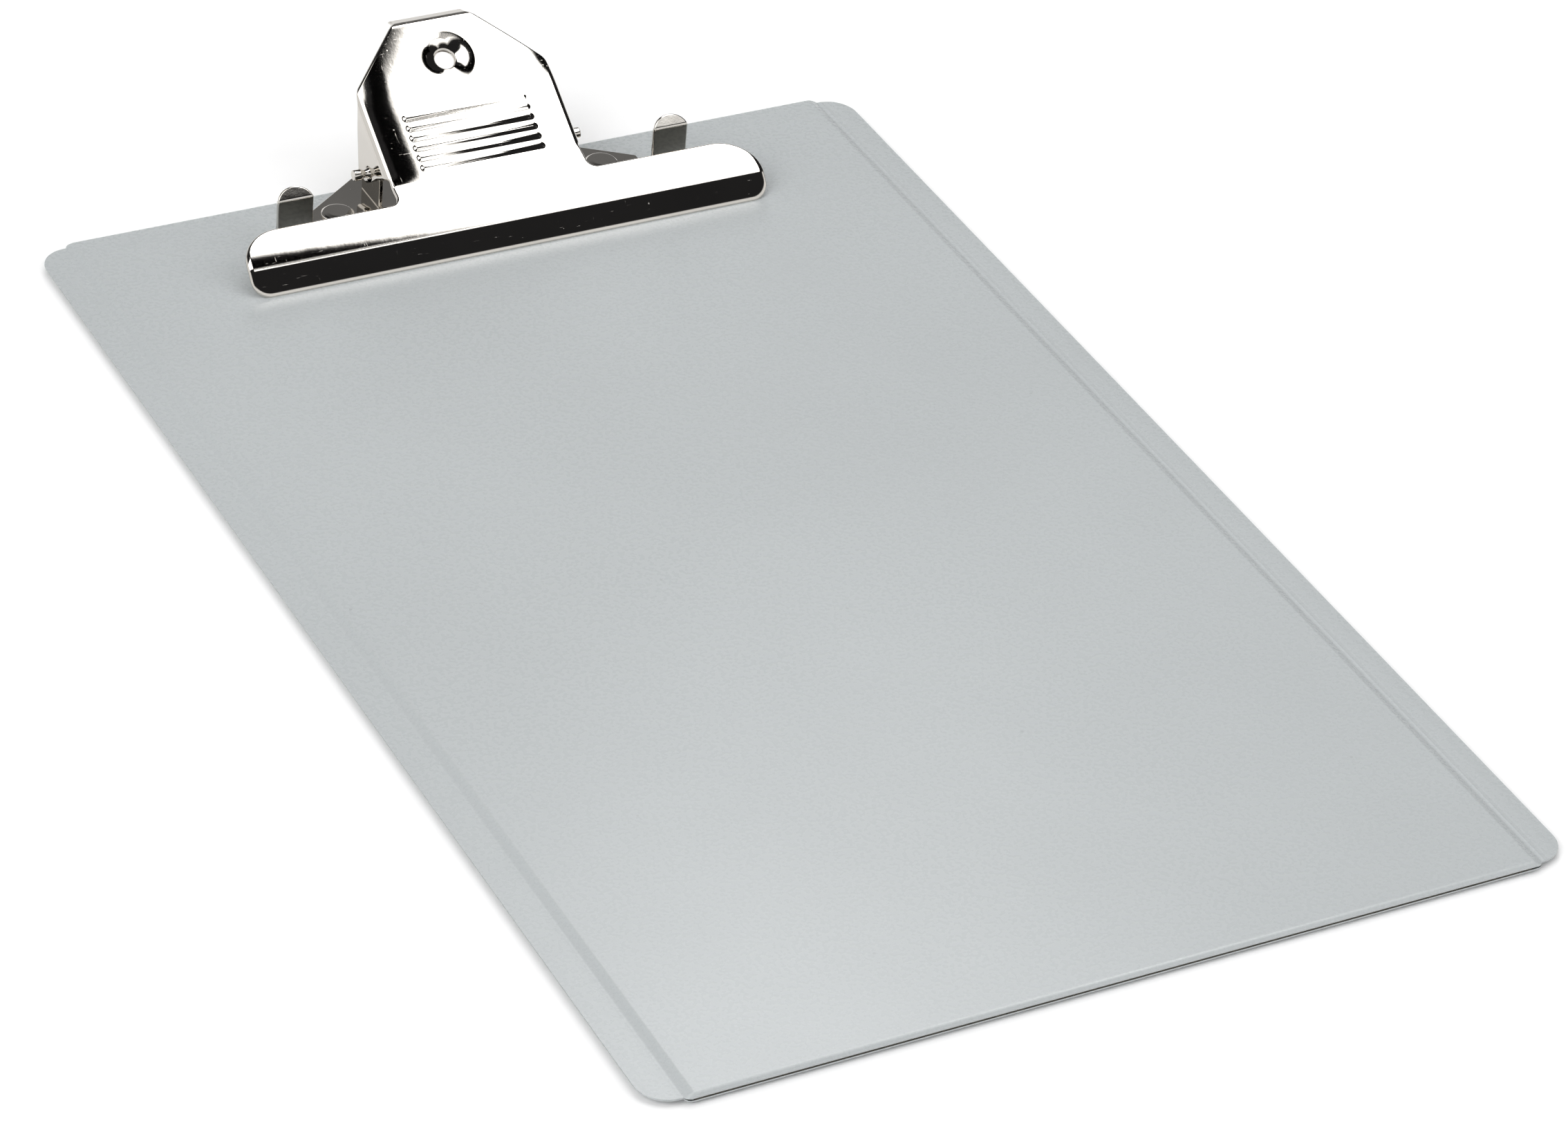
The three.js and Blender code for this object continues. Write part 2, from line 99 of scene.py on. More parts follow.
# ---------- node helpers ----------
class Nodes:
    """A small wrapper that adds and links shader nodes of one tree."""

    def __init__(self, tree):
        self.tree = tree

    def add(self, kind, **settings):
        node = self.tree.nodes.new(kind)
        for name, value in settings.items():
            if name.startswith("in_"):
                node.inputs[name[3:].replace("_", " ")].default_value = value
            else:
                setattr(node, name, value)
        return node

    def link(self, out, into):
        self.tree.links.new(out, into)

    def feed(self, value, socket):
        """Links a socket, or sets it to a number or a colour."""
        if isinstance(value, bpy.types.NodeSocket):
            self.link(value, socket)
        else:
            socket.default_value = (*value, 1.0) if isinstance(value, tuple) else value

    def noise(self, coords, scale, detail=2.0, roughness=0.5, stretch=None):
        if stretch is not None:
            mapping = self.add("ShaderNodeMapping", in_Scale=stretch)
            self.link(coords, mapping.inputs["Vector"])
            coords = mapping.outputs["Vector"]
        node = self.add("ShaderNodeTexNoise", in_Scale=scale, in_Detail=detail, in_Roughness=roughness)
        self.link(coords, node.inputs["Vector"])
        return node.outputs["Fac"]

    def ramp(self, value, low, high, out_low=0.0, out_high=1.0):
        node = self.add("ShaderNodeMapRange", interpolation_type="SMOOTHSTEP", in_From_Min=low,
                        in_From_Max=high, in_To_Min=out_low, in_To_Max=out_high)
        self.link(value, node.inputs["Value"])
        return node.outputs["Result"]

    def mix(self, share, first, second):
        node = self.add("ShaderNodeMix", data_type="RGBA")
        self.link(share, node.inputs["Factor"])
        self.feed(first, node.inputs["A"])
        self.feed(second, node.inputs["B"])
        return node.outputs["Result"]

    def math(self, operation, first, second):
        node = self.add("ShaderNodeMath", operation=operation)
        self.feed(first, node.inputs[0])
        self.feed(second, node.inputs[1])
        return node.outputs["Value"]

    def cells(self, coords, scale):
        node = self.add("ShaderNodeTexVoronoi", in_Scale=scale)
        self.link(coords, node.inputs["Vector"])
        return node.outputs["Distance"]

    def bump(self, height, distance, strength, before=None):
        node = self.add("ShaderNodeBump", in_Strength=strength, in_Distance=distance)
        self.link(height, node.inputs["Height"])
        if before is not None:
            self.link(before, node.inputs["Normal"])
        return node.outputs["Normal"]


def new_material(name):
    """A material with its node helper, its shader and its object coordinates."""
    material = bpy.data.materials.new(name)
    material.use_nodes = True
    nodes = Nodes(material.node_tree)
    shader = material.node_tree.nodes["Principled BSDF"]
    coords = nodes.add("ShaderNodeTexCoord").outputs["Object"]
    return material, nodes, shader, coords


def surface(nodes, shader, colour, roughness, normal):
    """Links a shader's colour, roughness and normal."""
    for value, name in ((colour, "Base Color"), (roughness, "Roughness"), (normal, "Normal")):
        nodes.link(value, shader.inputs[name])


# ---------- materials ----------
FILM_COLOUR = (0.42, 0.443, 0.448)
NICKEL_COLOUR = (0.66, 0.63, 0.585)
WIRE_COLOURS = ((0.44, 0.44, 0.45), (0.30, 0.29, 0.28))
ZINC_COLOURS = ((0.56, 0.57, 0.58), (0.45, 0.46, 0.47))
PAPERBOARD_COLOURS = ((0.30, 0.275, 0.24), (0.41, 0.38, 0.335))
FLECK_COLOUR = (0.16, 0.14, 0.12)
FLOOR_COLOURS = ((0.90, 0.90, 0.90), (0.93, 0.93, 0.93))


def shaded(colour, share):
    """The colour made darker, or lighter where the share is above 1."""
    return tuple(c * share for c in colour)


def film_material():
    """Satin grey plastic film: cloudy tone, fine orange peel, a few dark specks."""
    material, nodes, shader, coords = new_material("satin_grey_film")
    cloud = nodes.noise(coords, 9, detail=3)
    grain = nodes.noise(coords, 900)
    dark, light = shaded(FILM_COLOUR, 0.98), shaded(FILM_COLOUR, 1.015)
    tone = nodes.mix(nodes.ramp(cloud, 0.3, 0.7), dark, light)
    is_speck = nodes.ramp(nodes.cells(coords, 70), 0.022, 0.03, 0.35, 0)
    toned = nodes.mix(is_speck, tone, shaded(FILM_COLOUR, 0.45))
    shader.inputs["Specular IOR Level"].default_value = 0.5
    slow = nodes.bump(cloud, 0.0006, strength=0.5)
    fine = nodes.bump(grain, 0.00001, strength=0.05, before=slow)
    surface(nodes, shader, toned, nodes.ramp(grain, 0.3, 0.7, 0.27, 0.28), fine)
    return material


def nickel_material():
    """Bright nickel plate: mirror finish with a faint peel, fine scratches and dust."""
    material, nodes, shader, coords = new_material("bright_nickel_plate")
    peel = nodes.noise(coords, 520, detail=3, roughness=0.6)
    wave = nodes.noise(coords, 60)
    scratch = nodes.noise(coords, 260, stretch=(1, 14, 14))
    cross = nodes.noise(coords, 240, stretch=(16, 1.2, 1.2))
    lines = nodes.math("MAXIMUM", nodes.ramp(scratch, 0.70, 0.78), nodes.ramp(cross, 0.72, 0.80))
    mote = nodes.ramp(nodes.cells(coords, 230), 0.03, 0.06, 1, 0)
    shade = nodes.mix(nodes.ramp(wave, 0.35, 0.7), NICKEL_COLOUR, shaded(NICKEL_COLOUR, 0.93))
    shader.inputs["Metallic"].default_value = 1.0
    marks = nodes.math("MAXIMUM", nodes.math("MULTIPLY", lines, 0.2), nodes.math("MULTIPLY", mote, 0.5))
    waved = nodes.bump(wave, 0.00012, strength=0.35)
    peeled = nodes.bump(peel, 0.00001, strength=0.55, before=waved)
    marked = nodes.bump(lines, 0.000004, strength=0.6, before=peeled)
    surface(nodes, shader, shade, nodes.math("ADD", marks, 0.05), marked)
    return material


def grained_metal(name, grain_scale, patch_scale, colours, rough):
    """Plain grey metal with a fine grain and slow patches of tone."""
    material, nodes, shader, coords = new_material(name)
    grain = nodes.noise(coords, grain_scale, detail=3)
    patch = nodes.noise(coords, patch_scale)
    tone = nodes.mix(nodes.ramp(patch, 0.35, 0.7), *colours)
    shader.inputs["Metallic"].default_value = 1.0
    bumps = nodes.bump(grain, 0.00002, strength=0.5)
    surface(nodes, shader, tone, nodes.ramp(grain, 0.3, 0.7, *rough), bumps)
    return material


def wire_material():
    """Drawn spring wire: grey steel with fine marks and a trace of oil."""
    return grained_metal("drawn_spring_wire", 800, 160, WIRE_COLOURS, (0.24, 0.40))


def washer_material():
    """Plain zinc washer: soft grey with a frosted grain."""
    return grained_metal("zinc_washer", 1100, 220, ZINC_COLOURS, (0.30, 0.48))


def paperboard_material():
    """The grey recycled board of the core, with flecks and fibres."""
    material, nodes, shader, coords = new_material("grey_paperboard")
    fibre = nodes.noise(coords, 420, detail=4, roughness=0.6, stretch=(1, 5, 1))
    fleck = nodes.noise(coords, 1400)
    tone = nodes.mix(nodes.ramp(fibre, 0.3, 0.7), *PAPERBOARD_COLOURS)
    flecked = nodes.mix(nodes.ramp(fleck, 0.66, 0.74), tone, FLECK_COLOUR)
    bumps = nodes.bump(fibre, 0.0001, strength=0.7)
    surface(nodes, shader, flecked, nodes.ramp(fibre, 0.3, 0.7, 0.82, 0.95), bumps)
    return material


def floor_material():
    """Matt white paper, which fades into the pale horizon well away from the clipboard."""
    material, nodes, shader, coords = new_material("white_paper_floor")
    pulp = nodes.noise(coords, 60, detail=3)
    nodes.link(nodes.mix(pulp, *FLOOR_COLOURS), shader.inputs["Base Color"])
    shader.inputs["Roughness"].default_value = 0.9
    shader.inputs["Specular IOR Level"].default_value = 0.2
    away = nodes.add("ShaderNodeVectorMath", operation="LENGTH")
    nodes.link(coords, away.inputs[0])
    glow = nodes.add("ShaderNodeEmission", in_Color=(*HORIZON, 1.0))
    blend = nodes.add("ShaderNodeMixShader")
    nodes.link(nodes.ramp(away.outputs["Value"], *FLOOR_FADE), blend.inputs["Fac"])
    nodes.link(shader.outputs["BSDF"], blend.inputs[1])
    nodes.link(glow.outputs["Emission"], blend.inputs[2])
    output = material.node_tree.nodes["Material Output"]
    nodes.link(blend.outputs["Shader"], output.inputs["Surface"])
    return material


# ---------- outlines and paths ----------
def rounded(corners, steps=10):
    """A closed outline, counter-clockwise, with an arc wherever a corner has a radius."""
    points = []
    count = len(corners)
    for i, corner in enumerate(corners):
        here = Vector(corner[:2])
        radius = corner[2] if len(corner) > 2 else 0
        if radius == 0:
            points.append(here)
            continue
        back = (Vector(corners[i - 1][:2]) - here).normalized()
        ahead = (Vector(corners[(i + 1) % count][:2]) - here).normalized()
        half = math.acos(max(-1, min(1, back.dot(ahead)))) / 2
        centre = here + (back + ahead).normalized() * radius / math.sin(half)
        start = here + back * radius / math.tan(half) - centre
        end = here + ahead * radius / math.tan(half) - centre
        turn = math.atan2(start.x * end.y - start.y * end.x, start.dot(end))
        for k in range(steps + 1):
            angle = turn * k / steps
            cos, sin = math.cos(angle), math.sin(angle)
            points.append(centre + Vector((start.x * cos - start.y * sin, start.x * sin + start.y * cos)))
    return points


def mirrored(half):
    """Both halves of an outline from its right half, which runs from the low end to the high one."""
    return half + [(-c[0], *c[1:]) for c in reversed(half)]


def circle(x, y, radius, steps=48):
    """A hole's outline, clockwise."""
    turns = [-2 * math.pi * k / steps for k in range(steps)]
    return [Vector((x + radius * math.cos(a), y + radius * math.sin(a))) for a in turns]


class Path:
    """A line in a plane given by how its heading changes along its length.

    Spans are (length, heading at the end in degrees). Distance 0 is at `start`, where `zero` is
    the number of spans that lie before it.
    """

    STEP = 0.02

    def __init__(self, start, heading, spans, zero=0):
        before = sum(length for length, _ in spans[:zero])
        ends = np.cumsum([0.0] + [length for length, _ in spans])
        turns = np.radians([heading] + [end for _, end in spans])
        self.s = np.arange(0, ends[-1] + self.STEP, self.STEP)
        self.a = np.interp(self.s, ends, turns)
        middle = (self.a[1:] + self.a[:-1]) / 2
        u = np.concatenate(([0], np.cumsum(np.cos(middle)) * self.STEP))
        v = np.concatenate(([0], np.cumsum(np.sin(middle)) * self.STEP))
        self.s = self.s - before
        self.u = u - np.interp(0, self.s, u) + start[0]
        self.v = v - np.interp(0, self.s, v) + start[1]

    def at(self, s):
        return (np.interp(s, self.s, self.u), np.interp(s, self.s, self.v), np.interp(s, self.s, self.a))


# ---------- sheet solids ----------
EDGE_STEPS = 4
MITER_LIMIT = 0.5
SLIVER_AREA = 1e-7


def edge_rings(thickness, over, under):
    """(inset, height, outward part, upward part) of each ring down an edge rounded above and below."""
    turns = [math.pi / 2 * k / EDGE_STEPS for k in range(EDGE_STEPS + 1)]
    top = [(over * (1 - math.sin(a)), -over * (1 - math.cos(a)), math.sin(a), math.cos(a)) for a in turns]
    low = [(under * (1 - math.sin(a)), under * (1 - math.cos(a)) - thickness, math.sin(a), -math.cos(a))
           for a in reversed(turns)]
    return top + low


def outward(loop):
    """Unit outward directions of a loop's points, longer at corners so that edges stay parallel."""
    found = []
    count = len(loop)
    for i in range(count):
        a = (loop[i] - loop[i - 1]).normalized()
        b = (loop[(i + 1) % count] - loop[i]).normalized()
        normal = Vector((a.y + b.y, -a.x - b.x)).normalized()
        found.append((normal, 1 / max(MITER_LIMIT, normal.dot(Vector((a.y, -a.x))))))
    return found


def flat_sheet(loops, thickness, over, under, reach=lambda at: 1.0):
    """A closed flat sheet as a bmesh with a normal stored at each point. Holes run clockwise.

    `reach` says how many times wider than high the upper rounding is at a point of an outline.
    """
    sheet = bmesh.new()
    stored = sheet.verts.layers.float_vector.new("flat_normal")
    rings = edge_rings(thickness, over, under)
    grid = []
    for loop in loops:
        sides = outward(loop)
        columns = []
        for inset, height, out, up in rings:
            column = []
            for point, (normal, miter) in zip(loop, sides):
                wider = reach(point) if up > 0 else 1.0
                at = point - normal * inset * miter * wider
                vert = sheet.verts.new((at.x, at.y, height))
                vert[stored] = (normal.x * out, normal.y * out, up * wider)
                column.append(vert)
            columns.append(column)
        grid.append(columns)
    for columns in grid:
        for upper, lower in zip(columns, columns[1:]):
            for i in range(len(upper)):
                j = (i + 1) % len(upper)
                sheet.faces.new((upper[i], lower[i], lower[j], upper[j]))
    for ring in (0, -1):
        verts = [v for columns in grid for v in columns[ring]]
        flat = [[Vector((v.co.x, v.co.y, 0)) for v in columns[ring]] for columns in grid]
        for corners in geometry.tessellate_polygon(flat):
            face = [verts[i] for i in corners]
            if geometry.area_tri(*[v.co for v in face]) > SLIVER_AREA:
                sheet.faces.new(face)
    bmesh.ops.recalc_face_normals(sheet, faces=sheet.faces)
    return sheet, stored


def score(sheet, axis, places, within=None):
    """Cuts the sheet's faces along lines of equal x or y, so that it can bend there."""
    normal = Vector((1, 0, 0)) if axis == 0 else Vector((0, 1, 0))

    def measured(faces):
        found = []
        for f in faces:
            if within is None or within(f.calc_center_bounds()):
                reach = [v.co[axis] for v in f.verts]
                found.append((min(reach), max(reach), f))
        return found

    waiting = measured(sheet.faces)
    for place in sorted(places):
        near = [f for low, high, f in waiting if low < place < high]
        waiting = [w for w in waiting if w[1] > place and not w[0] < place]
        edges = {e for f in near for e in f.edges}
        verts = {v for f in near for v in f.verts}
        cut = bmesh.ops.bisect_plane(sheet, geom=[*verts, *edges, *near], dist=1e-5,
                                     plane_co=normal * place, plane_no=normal)
        waiting += measured(f for f in cut["geom"] if isinstance(f, bmesh.types.BMFace))


def spread(low, high, step):
    """Evenly spaced places from low to high."""
    count = max(1, round((high - low) / step))
    return [low + (high - low) * k / count for k in range(count + 1)]


def place(points):
    """Board-frame millimetres to row-frame metres."""
    return np.asarray(points) * MM + ORIGIN


def finish_mesh(name, parts, material):
    """One object from (points, faces, normals) parts, in board-frame millimetres."""
    points = np.concatenate([p for p, _, _ in parts])
    normals = np.concatenate([n for _, _, n in parts])
    faces, base = [], 0
    for p, f, _ in parts:
        faces += [tuple(base + i for i in face) for face in f]
        base += len(p)
    mesh = bpy.data.meshes.new(name)
    mesh.from_pydata([tuple(p) for p in place(points)], [], faces)
    mesh.validate()
    mesh.shade_smooth()
    lengths = np.linalg.norm(normals, axis=1, keepdims=True)
    mesh.normals_split_custom_set_from_vertices([tuple(n) for n in normals / np.maximum(lengths, 1e-9)])
    mesh.materials.append(material)
    obj = bpy.data.objects.new(name, mesh)
    bpy.context.scene.collection.objects.link(obj)
    return obj


def mesh_arrays(sheet, stored):
    """Points, normals and faces of a bmesh."""
    sheet.verts.ensure_lookup_table()
    sheet.verts.index_update()
    points = np.array([v.co for v in sheet.verts])
    normals = np.array([v[stored] for v in sheet.verts])
    faces = [[v.index for v in f.verts] for f in sheet.faces]
    sheet.free()
    return points, normals, faces


def press(points, normals, relief):
    """Moves points up by relief(x, y) and leans their normals against its slope."""
    step = 0.02
    x, y = points[:, 0], points[:, 1]
    rise = relief(x, y)
    slope_x = (relief(x + step, y) - relief(x - step, y)) / (2 * step)
    slope_y = (relief(x, y + step) - relief(x, y - step)) / (2 * step)
    moved = points.copy()
    moved[:, 2] += rise
    # A pressed sheet's normal is the cross product of its two leaned tangents.
    nx = normals[:, 0] - slope_x * normals[:, 2]
    ny = normals[:, 1] - slope_y * normals[:, 2]
    return moved, np.stack([nx, ny, normals[:, 2]], axis=1)


def fold(points, normals, path):
    """Bends a flat sheet along a path in Y and Z: y runs along it and z stands off it."""
    u, v, a = path.at(points[:, 1])
    cos, sin = np.cos(a), np.sin(a)
    height = points[:, 2]
    bent = np.stack([points[:, 0], u - height * sin, v + height * cos], axis=1)
    turned = np.stack([normals[:, 0], normals[:, 1] * cos - normals[:, 2] * sin,
                       normals[:, 1] * sin + normals[:, 2] * cos], axis=1)
    return bent, turned


def smooth(value, low, high):
    """0 below low, 1 above high and an even S between them."""
    t = np.clip((value - low) / (high - low), 0, 1)
    return t * t * (3 - 2 * t)


# ---------- turned pieces ----------
def turned(profile, centre, axis, segments=64):
    """A lathed closed solid: profile points are (radius, distance along the axis)."""
    radii, along = np.array(profile).T
    step_r, step_a = np.gradient(radii), np.gradient(along)
    points, normals, faces, rows = [], [], [], []
    for r, a, dr, da in zip(radii, along, step_r, step_a):
        count = 1 if r < 1e-6 else segments
        rows.append((len(points), count))
        for k in range(count):
            turn = 2 * math.pi * k / segments
            cos, sin = math.cos(turn), math.sin(turn)
            points.append((r * cos, r * sin, a))
            if count == 1:
                normals.append((0, 0, -dr if dr else da))
            else:
                normals.append((da * cos, da * sin, -dr))
    for (a0, an), (b0, bn) in zip(rows, rows[1:]):
        for k in range(segments):
            j = (k + 1) % segments
            if an == 1:
                faces.append((a0, b0 + j, b0 + k))
            elif bn == 1:
                faces.append((a0 + k, a0 + j, b0))
            else:
                faces.append((a0 + k, a0 + j, b0 + j, b0 + k))
    points, normals = np.array(points), np.array(normals)
    if axis == "X":
        points, normals = points[:, [2, 0, 1]], normals[:, [2, 0, 1]]
    return points + np.array(centre), faces, normals


def eased(profile, radius, steps=4):
    """Rounds the corners of an open profile of (radius, distance) points."""
    out = [profile[0]]
    for before, here, after in zip(profile, profile[1:], profile[2:]):
        a, p, b = Vector(before), Vector(here), Vector(after)
        cut = min(radius, (p - a).length * 0.45, (b - p).length * 0.45)
        first = p + (a - p).normalized() * cut
        last = p + (b - p).normalized() * cut
        for k in range(steps + 1):
            t = k / steps
            out.append(tuple(first * (1 - t) ** 2 + p * 2 * t * (1 - t) + last * t ** 2))
    out.append(profile[-1])
    return out


# ---------- the film covers ----------
FILM = 0.25
SEAM_X = 107.2
SEAM_SLOPE = 2.7
FLANGE_SETBACK = 1.2
FLANGE_CORNER_R = 7.5
SHOULDER = 1.25
STEP = {"x": SEAM_X - 1.0, "r": 1.5, "foot_x": SEAM_X - 0.2}
# A weld line and the groove beside it: height or depth, distance out from the seam and width.
WELD = {"rise": 0.03, "out": 0.75, "width": 0.32}
GROOVE = {"depth": 0.015, "out": 1.75, "width": 0.30}
DROOP = {"depth": 0.10, "over": 3.5}
FILM_EDGE = 0.07
MID_Z = -BOARD_T / 2
RIVET_X = 37.4
RIVET_Y = 164.6
RIVET_HOLE_R = 2.3
WASHER_HOLE_R = 5.3


def panel_relief(x, y):
    """How far the film stands above its welded flange: the core's block and two weld lines."""
    half_l = BOARD_L / 2
    rise = BOARD_T / 2 - FILM
    side = smooth(SEAM_X - np.abs(x), 0, SEAM_SLOPE)
    end = np.clip((half_l + 0.02 - np.abs(y)) / SHOULDER, 0, 1)
    corner = side * np.sqrt(1 - (1 - end) ** 2)
    out = np.abs(x) - SEAM_X
    weld = WELD["rise"] * np.exp(-((out - WELD["out"]) / WELD["width"]) ** 2)
    groove = GROOVE["depth"] * np.exp(-((out - GROOVE["out"]) / GROOVE["width"]) ** 2)
    droop = DROOP["depth"] * smooth(np.abs(x), BOARD_W / 2 - DROOP["over"], BOARD_W / 2)
    return rise * corner + weld - groove - droop


def panel_outline():
    """The film's outline: the flanges at its sides stop a little short of its ends."""
    flange_y = BOARD_L / 2 - FLANGE_SETBACK
    right = [
        (STEP["x"], -BOARD_L / 2, STEP["r"]),
        (STEP["foot_x"], -flange_y),
        (BOARD_W / 2, -flange_y, FLANGE_CORNER_R),
        (BOARD_W / 2, flange_y, FLANGE_CORNER_R),
        (STEP["foot_x"], flange_y),
        (STEP["x"], BOARD_L / 2, STEP["r"]),
    ]
    return rounded(mirrored(right), 14)


def film_sheet(hole_radius):
    """The paper side's film with its two rivet holes, as arrays."""
    holes = [circle(side * RIVET_X, RIVET_Y, hole_radius) for side in (1, -1)]
    sheet, stored = flat_sheet([panel_outline(), *holes], FILM, FILM_EDGE, FILM_EDGE)
    # The cuts lie closer together where the film curves more.
    quarter = [1 - math.cos(math.pi / 2 * k / 9) for k in range(1, 10)]
    ends = [BOARD_L / 2 - SHOULDER * q for q in quarter]
    sides = spread(SEAM_X - SEAM_SLOPE, SEAM_X, 0.25)
    welds = spread(SEAM_X + 0.05, SEAM_X + 2.6, 0.15)
    rim = spread(BOARD_W / 2 - DROOP["over"], BOARD_W / 2 - 0.2, 0.6)
    score(sheet, 1, [s * e for e in ends for s in (1, -1)])
    score(sheet, 0, [s * x for x in [*sides, *welds, *rim] for s in (1, -1)])
    return mesh_arrays(sheet, stored)


def make_film(name, node, front, hole_radius, material):
    """One film; the back one is the front one mirrored in the board's middle plane."""
    points, normals, faces = film_sheet(hole_radius)
    points, normals = press(points, normals, panel_relief)
    points[:, 2] += MID_Z + FILM
    if not front:
        points[:, 2] = 2 * MID_Z - points[:, 2]
        normals[:, 2] *= -1
        faces = [face[::-1] for face in faces]
    film = finish_mesh(name, [(points, faces, normals)], material)
    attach(film, "board")
    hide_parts(node)


# ---------- the jaw lever ----------
SHEET = 1.0
EDGE_OVER = 0.72
EDGE_UNDER = 0.18
# The upper edge's rounding is wider round the lip, and fades back between these distances from it.
LIP_EDGE_REACH = 2.1
LIP_EDGE_FADE = (9, 15)
JAW_GAP = 0.2
NECK = (155.2, 12.05)
LEVER_DEG = 32.4
LEVER_COS, LEVER_SIN = math.cos(math.radians(LEVER_DEG)), math.sin(math.radians(LEVER_DEG))
BAR_DEG = 19.4
ROLL_DEG = 34.0
FACE_DEG = 48.0
NECK_BEND = 0.9
BAR_FLAT = 10.7
ROLL = 4.9
FILLET = 1.2
BAR_BACK_Y = 150.2
LEVER_HALF_W = 27.5
LEVER_TOP_HALF_W = 10.4
LEVER_LENGTH = 47.8
LEVER_LIP = 1.9
SHOULDER_ALONG = 28.0
PIN_PLAY = 0.12
FLANGE_R = 1.7
CROWN_START = 17.5
CROWN_DEG = 5.5
CROWN_FADE = (-1.0, 3.2)
# How far from the middle the crowned face ends in the flat pattern, and the bend's length there.
CROWN_END = LEVER_HALF_W - FLANGE_R * (1 - math.sin(math.radians(CROWN_DEG)))
FLANGE_BEND = FLANGE_R * math.radians(90 - CROWN_DEG)
WIDEST_FLANGE = 45
LIP_CORNER_R = 5.0
RIBS = {"count": 6, "half": 17.5, "half_w": 1.1, "low": 0.187, "high": 0.41, "first": 3.7, "pitch": 2.88}
# The ribs stand at their full height right of the middle and in the lower rows.
RIB_FADE_X = (-2, 9)
RIB_FADE_ALONG = (11, 17)
RIDGE_SOFT = 0.14
RIM_FADE = (20, 27)
RIM = {"width": 9.0, "fall": 0.004, "roll": 2.0, "roll_start": 4.0, "roll_slope": 1.05}
DISH = {"along": 33.1, "r": 8.0, "hole": 2.55}
# The dish's slope at each distance from the hole's middle: it steepens towards the hole.
DISH_SLOPES = [(2.5, 0.30), (4.0, 0.27), (5.2, 0.22), (6.3, 0.155), (7.4, 0.11), (8.0, 0.0)]


def jaw_path():
    """The jaw's section from lip to lever top, and how far its lip lies below the neck."""
    drop_spans = [(NECK_BEND / 2, BAR_DEG), (BAR_FLAT, BAR_DEG), (ROLL, ROLL_DEG), (FILLET, FACE_DEG)]
    neck_deg = (BAR_DEG + LEVER_DEG) / 2
    # Walk down from the neck to learn how long the face is when it stops above the paper.
    down = Path((0, 0), neck_deg, drop_spans)
    left = NECK[1] - JAW_GAP - down.v[-1]
    back = sum(length for length, _ in drop_spans)
    face = left / math.sin(math.radians(FACE_DEG))
    spans = [(face, FACE_DEG), (FILLET, ROLL_DEG), (ROLL, BAR_DEG), (BAR_FLAT, BAR_DEG),
             (NECK_BEND / 2, neck_deg), (NECK_BEND / 2, LEVER_DEG), (LEVER_LENGTH + 2, LEVER_DEG)]
    return Path(NECK, FACE_DEG, spans, zero=5), -(face + back)


def flange_u(out):
    """Where a point `out` below the lever's face lies in the flat pattern, across the bend."""
    return CROWN_END + FLANGE_BEND + (out - FLANGE_R)


def jaw_outline(lip):
    """The jaw lever's flat pattern: x across it and y up it from the neck."""
    back = (BAR_BACK_Y - NECK[0]) / math.cos(math.radians(BAR_DEG))
    right = [
        (BAR_HALF_W, lip, LIP_CORNER_R),
        (BAR_HALF_W, back, 11),
        (LEVER_HALF_W - 0.6, back, 2.4),
        (LEVER_HALF_W - 0.6, 2.4, 1.2),
        (flange_u(5.5), 5.2, 1.5),
        (flange_u(13.8), 8.8, 2.0),
        (flange_u(15.3), 13.5, 1.5),
        (flange_u(1.6), 25.2, 2.5),
        (LEVER_HALF_W - 0.2, SHOULDER_ALONG, 2.0),
        (LEVER_TOP_HALF_W, LEVER_LENGTH - LEVER_LIP, 1.2),
        (LEVER_TOP_HALF_W, LEVER_LENGTH, 0.7),
    ]
    return rounded(mirrored(right), 12)


def rim_distance(x, along):
    """Distance in from the lever's top edge and its two slanted edges."""
    slant_end = LEVER_LENGTH - LEVER_LIP
    slant = Vector((LEVER_TOP_HALF_W - LEVER_HALF_W, slant_end - SHOULDER_ALONG)).normalized()
    from_slant = -(np.abs(x) - LEVER_TOP_HALF_W) * slant.y + (along - slant_end) * slant.x
    return np.minimum(from_slant, LEVER_LENGTH - along)


def ridge(d):
    """A tent's section, 1 at d = 0 and 0 from d = 1 on, with its top and feet rounded."""
    top = np.where(d < RIDGE_SOFT, (RIDGE_SOFT - d) ** 2 / (2 * RIDGE_SOFT), 0)
    foot = np.clip(RIDGE_SOFT - np.abs(d - 1), 0, None) ** 2 / (4 * RIDGE_SOFT)
    return np.clip(1 - d, 0, 1) - top + foot


def dish_rise(distance):
    """The dish's height at a distance from the hole's middle, summed in from its rim."""
    reach = np.linspace(0, DISH["r"], 165)
    slope = np.interp(reach, *zip(*DISH_SLOPES))
    height = np.concatenate(([0], np.cumsum((slope[1:] + slope[:-1]) / 2 * np.diff(reach))))
    return np.interp(distance, reach, height - height[-1])


